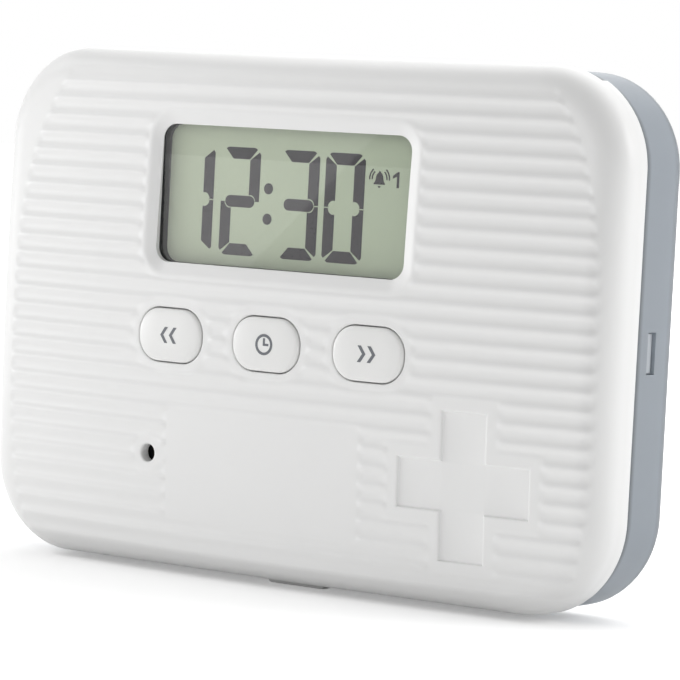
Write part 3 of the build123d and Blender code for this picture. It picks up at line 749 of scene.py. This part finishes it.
# Buttons
def button(name, x):
    """A domed cap with a soft edge and a wider foot under the face."""
    bm = bmesh.new()
    points = outline_points(button_outline(x, -CAP_MIDDLE), 16)
    verts = [bm.verts.new((px, 0, pz)) for px, pz in points]
    edges = [bm.edges.new((verts[i - 1], verts[i])) for i in range(len(verts))]
    bmesh.ops.triangle_fill(bm, edges=edges, use_beauty=True, normal=(0, -1, 0))
    edges = [e for e in bm.edges if e.is_boundary]
    outline = button_outline(x)
    profile = [(offset, CAP_CROWN + fall) for offset, fall in CAP_DOME]
    for i in range(1, CAP_ROUND_STEPS + 1):
        turn = i / CAP_ROUND_STEPS * pi / 2
        fall = CAP_ROUND_START + CAP_ROUND_FALL * (1 - cos(turn))
        profile.append((-CAP_ROUND * (1 - sin(turn)), CAP_CROWN + fall))
    profile += CAP_FOOT
    for vert in bm.verts:
        vert.co.y = CAP_CROWN
    for offset, depth in profile:
        edges = extend(bm, edges, stepped(outline, offset, depth))
    bmesh.ops.triangle_fill(bm, edges=edges, use_beauty=True, normal=(0, 1, 0))
    bmesh.ops.recalc_face_normals(bm, faces=bm.faces)
    return finished(
        f"{name}_cap",
        bm,
        f"{name}_key",
        button_white,
        angle=50,
        onto_face=True,
        replaces=[f"{name}_button"],
    )


for name, x in BUTTON_XS.items():
    button(name, x)


# Display: the panel's glass and its segments
def arc(x, z, radius, start, end, steps=5):
    """Points on an arc, with its angles in degrees."""
    turns = [radians(start + (end - start) * i / steps) for i in range(steps + 1)]
    return [(x + radius * cos(turn), z + radius * sin(turn)) for turn in turns]


def segment_points(letter):
    """Outline of one bar of a seven-bar digit, in a box with its lower left corner at zero."""
    width, height = DIGIT_WIDTH, DIGIT_TOP - DIGIT_FOOT
    corner, half, gap = DIGIT_CORNER, height / 2, SEGMENT_GAP
    mitre = corner * 0.3 + gap
    if letter in "ad":
        points = [(width - STROKE - gap, height - BAR), (STROKE + gap, height - BAR)]
        points += [(x + mitre, z) for x, z in arc(corner, height - corner, corner, 135, 90)]
        points += [(x - mitre, z) for x, z in arc(width - corner, height - corner, corner, 90, 45)]
        if letter == "d":
            points = [(x, height - z) for x, z in reversed(points)]
        return points
    if letter == "g":
        radius = BAR / 2
        left, right = BAR_INSET + radius, width - BAR_INSET - radius
        return arc(right, half, radius, -90, 90, 8) + arc(left, half, radius, 90, 270, 8)
    points = [(width, half + gap * 0.7), (width, height - corner)]
    points += [(x, z - mitre) for x, z in arc(width - corner, height - corner, corner, 0, 45)][1:]
    points += [(width - STROKE, height - BAR - gap), (width - STROKE, half + BAR / 2 + gap)]
    notch = arc(width - BAR_INSET - BAR / 2, half, BAR / 2 + 1.6 * gap, 80, 10, 5)
    points += [(x, z) for x, z in notch if x > width - STROKE]
    points.append((width - 1.0, half + gap * 0.7))
    if letter in "ef":
        points = [(width - x, z) for x, z in reversed(points)]
    if letter in "ce":
        points = [(x, height - z) for x, z in reversed(points)]
    return points


def raised_marks(name, shapes, back, front, body, material, onto_face=False):
    """Thin flat shapes that stand on a surface."""
    bm = bmesh.new()
    for points in shapes:
        slab(bm, points, front, back)
    return finished(name, bm, body, material, angle=30, onto_face=onto_face)


def glass_panel():
    """The liquid crystal glass, two panes with a cut edge."""
    bm = bmesh.new()
    outline = (DISPLAY[0], DISPLAY[1], DISPLAY[2] + PANEL_MARGIN, DISPLAY[3] + PANEL_MARGIN, PANEL_CORNER)
    slab(bm, outline_points(outline, 3), PANEL_FRONT, PANEL_FRONT + PANE)
    slab(bm, outline_points(grown(outline, -PANE_STEP), 3), PANEL_FRONT + PANE - 0.05, PANEL_BACK)
    rims = [e for e in bm.edges if e.calc_face_angle(0) > 1]
    soften(bm, 0.08, 2, rims)
    return finished(
        "display_glass", bm, "timer", display_glass, angle=30, replaces=["display_panel"]
    )


def bell_shapes():
    """A plain bell with a clapper and two ringing strokes at each side."""
    x, z = BELL
    side = [(1.15, -0.95), (1.1, -0.75), (0.88, -0.5), (0.74, -0.1)]
    side += [(0.68, 0.35), (0.5, 0.75), (0.2, 0.98), (0.16, 1.2)]
    dome_part = [(x + px, z + pz) for px, pz in side] + [(x - px, z + pz) for px, pz in reversed(side)]
    shapes = [dome_part, arc(x, z - 1.2, 0.27, 180, 360, 10)]
    for radius in (1.35, 1.85):
        for middle in (22, 158):
            inner = arc(x, z, radius, middle - 28, middle + 28, 6)
            shapes.append(inner + arc(x, z, radius + 0.22, middle + 28, middle - 28, 6))
    return shapes


def display_marks():
    """Twelve thirty, its colon, the alarm bell and its number."""
    shapes = []
    for left, letters in DIGITS:
        for letter in letters:
            shapes.append([(left + x, DIGIT_FOOT + z) for x, z in segment_points(letter)])
    for z in COLON_ZS:
        shapes.append(arc(COLON_X, z, COLON_RADIUS, 0, 360, 20)[:-1])
    shapes += bell_shapes()
    one = [(0.85, 0), (1.3, 0), (1.3, 2.6), (1.0, 2.6), (0.05, 1.95), (0.05, 1.5), (0.85, 1.85)]
    shapes.append([(ALARM_NUMBER[0] + x, ALARM_NUMBER[1] + z) for x, z in one])
    shapes = [[point for i, point in enumerate(shape) if point != shape[i - 1]] for shape in shapes]
    back, front = PANEL_FRONT + SEGMENT_SINK, PANEL_FRONT - SEGMENT_RISE
    return raised_marks("display_segments", shapes, back, front, "timer", segment)


glass_panel()
display_marks()


# Generic marks on the caps in place of words: two arrowheads back, a clock face, two arrowheads on
def arrow_mark(name, way):
    """Two arrowheads that point right where way is 1, and left where it is -1."""
    shapes = []
    for shift in (-ARROW_SHIFT, ARROW_SHIFT):
        middle = BUTTON_XS[name] + shift
        shapes.append(
            [
                (middle - 0.75 * way, BUTTON_Z - 1.35),
                (middle - 0.1 * way, BUTTON_Z - 1.35),
                (middle + 0.85 * way, BUTTON_Z),
                (middle - 0.1 * way, BUTTON_Z + 1.35),
                (middle - 0.75 * way, BUTTON_Z + 1.35),
                (middle + 0.2 * way, BUTTON_Z),
            ]
        )
    raised_marks(
        f"{name}_mark", shapes, MARK_BACK, MARK_FRONT, f"{name}_key", ink, onto_face=True
    )


def hand(x, low, high):
    """Corners of a clock hand between two corners given from the middle of the clock face."""
    return [
        (x + low[0], BUTTON_Z + low[1]),
        (x + high[0], BUTTON_Z + low[1]),
        (x + high[0], BUTTON_Z + high[1]),
        (x + low[0], BUTTON_Z + high[1]),
    ]


def clock_mark(name):
    """A ring with two hands."""
    x = BUTTON_XS[name]
    outer, inner = (arc(x, BUTTON_Z, radius, 0, 360, 28)[:-1] for radius in (CLOCK_OUTSIDE, CLOCK_INSIDE))
    bm = bmesh.new()
    ring_slab(bm, outer, inner, MARK_FRONT, MARK_BACK)
    slab(bm, hand(x, (-0.2, -0.15), (0.2, 1.05)), MARK_FRONT, MARK_BACK)
    slab(bm, hand(x, (-0.2, -0.2), (0.95, 0.18)), MARK_FRONT, MARK_BACK)
    finished(f"{name}_mark", bm, f"{name}_key", ink, angle=30, onto_face=True)


arrow_mark("hour", -1)
clock_mark("mode")
arrow_mark("minute", 1)

# Finishes of the pieces whose own shape stays
KEPT = {
    "display_window": clear,
    "display_gasket": black_rubber,
    "display_backing": silver,
    "contact_strips": black_rubber,
    "main_board": board_green,
    "controller_chip": black_plastic,
    "clock_crystal": tin,
    "capacitors": tin,
    "switch_housings": black_plastic,
    "hour_plunger": dark_stem,
    "mode_plunger": dark_stem,
    "minute_plunger": dark_stem,
    "sounder_housing": black_plastic,
    "sounder_disc": brass,
    "board_screws": steel,
    "back_plate": white,
    "plate_screws": steel,
    "coin_cell": steel,
    "lower_contact": tin,
    "rim_contact": tin,
    "battery_door": white,
    "door_screw": steel,
    "hinge_pins": steel,
    "pill_case": smoke,
    "pill_tray": tray_clear,
}
for name, material in KEPT.items():
    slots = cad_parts[name].data.materials
    slots.clear()
    slots.append(material)


# Camera, floor, world and lamps
camera = bpy.data.objects.new("camera", bpy.data.cameras.new("camera"))
bpy.context.scene.collection.objects.link(camera)
camera.data.sensor_width = 36
camera.data.lens = 192.43
camera.data.clip_start = 0.05
camera.data.clip_end = 20
camera.location = (0.35888, -0.48804, 0.07637)
camera.rotation_euler = (1.512927, -0.052462, 0.629698)
bpy.context.scene.camera = camera
bpy.context.scene.view_settings.view_transform = "Standard"


def seen_or_mirrored(tree):
    """1 on rays from the camera and through gloss and glass, where the background shows."""
    path = tree.nodes.new("ShaderNodeLightPath")
    total = None
    for label in ("Is Camera Ray", "Is Glossy Ray", "Is Transmission Ray"):
        if total is None:
            total = path.outputs[label]
            continue
        most = tree.nodes.new("ShaderNodeMath")
        most.operation = "MAXIMUM"
        tree.links.new(total, most.inputs[0])
        tree.links.new(path.outputs[label], most.inputs[1])
        total = most.outputs[0]
    return total


world = bpy.data.worlds.new("studio")
world.use_nodes = True
bpy.context.scene.world = world
background = world.node_tree.nodes["Background"]
background.inputs["Color"].default_value = (1, 1, 1, 1)
strength = world.node_tree.nodes.new("ShaderNodeMapRange")
strength.inputs["To Min"].default_value = 0.44
strength.inputs["To Max"].default_value = 1.0
world.node_tree.links.new(seen_or_mirrored(world.node_tree), strength.inputs["Value"])
world.node_tree.links.new(strength.outputs["Result"], background.inputs["Strength"])


def pale_floor():
    """A white floor that glows further out, where it is seen, and keeps the object's shadow; its weaker glow near
    the object is painted shade round it.
    """
    bm = bmesh.new()
    bmesh.ops.create_grid(bm, x_segments=2, y_segments=2, size=6)
    mesh = bpy.data.meshes.new("floor")
    bm.to_mesh(mesh)
    bm.free()
    thing = bpy.data.objects.new("floor", mesh)
    bpy.context.scene.collection.objects.link(thing)
    material, tree, shader = principled("white floor", (0.88, 0.88, 0.88), 0.9)
    shader.inputs["Emission Color"].default_value = (1, 1, 1, 1)
    place = tree.nodes.new("ShaderNodeTexCoord")
    distance = tree.nodes.new("ShaderNodeVectorMath")
    distance.operation = "LENGTH"
    # Glow by distance from the middle: weaker near the object, a painted shade on the floor round it on top of
    # its real shadow.
    fade = tree.nodes.new("ShaderNodeMapRange")
    fade.inputs["From Min"].default_value = 0.15
    fade.inputs["From Max"].default_value = 0.6
    fade.inputs["To Min"].default_value = 0.3
    fade.inputs["To Max"].default_value = 1.0
    glow = tree.nodes.new("ShaderNodeMath")
    glow.operation = "MULTIPLY"
    tree.links.new(place.outputs["Object"], distance.inputs[0])
    tree.links.new(distance.outputs["Value"], fade.inputs["Value"])
    tree.links.new(fade.outputs["Result"], glow.inputs[1])
    tree.links.new(seen_or_mirrored(tree), glow.inputs[0])
    tree.links.new(glow.outputs[0], shader.inputs["Emission Strength"])
    mesh.materials.append(material)


pale_floor()


def lamp(name, place, aim, turn, size, power):
    """A soft square lamp that looks at a point, turned about that line."""
    data = bpy.data.lights.new(name, "AREA")
    data.shape = "RECTANGLE"
    data.size, data.size_y = size
    data.energy = power
    thing = bpy.data.objects.new(name, data)
    bpy.context.scene.collection.objects.link(thing)
    thing.location = place
    look = (Vector(aim) - Vector(place)).to_track_quat("-Z", "Y").to_matrix()
    thing.rotation_euler = (look @ Matrix.Rotation(radians(turn), 3, "Z")).to_euler()
    thing.visible_camera = False
    return thing


# Each lamp's place, aim, turn, size and power. The card is there for its slanting edge, which the window mirrors.
lamp("overhead", (0.0, 0.5, 1.0), (0.0, 0.1, 0.0), 0, (1.6, 1.0), 8)
lamp("left", (-1.0, -0.5, 0.07), (0.0, 0.0, 0.05), 0, (0.6, 0.14), 2.4)
card = lamp("card", (-0.541, -0.5, 0.222), (-0.541, 0.0, 0.222), 43, (0.5, 0.5), 0.5)
card.visible_diffuse = False
lamp("upper left", (-0.85, -0.35, 0.65), (0.0, 0.0, 0.05), 0, (0.5, 0.4), 2.2)
lamp("bounce", (-0.35, -0.3535, 0.002), (-0.35, -0.3535, 1.0), 0, (1.0, 0.68), 0.6)
lamp("right", (1.0, 0.6, 0.5), (0.0, 0.0, 0.04), 0, (0.6, 0.6), 5.5)
lamp("rear", (-0.6, 1.1, 0.4), (0.0, 0.0, 0.04), 0, (0.9, 0.6), 1.8)
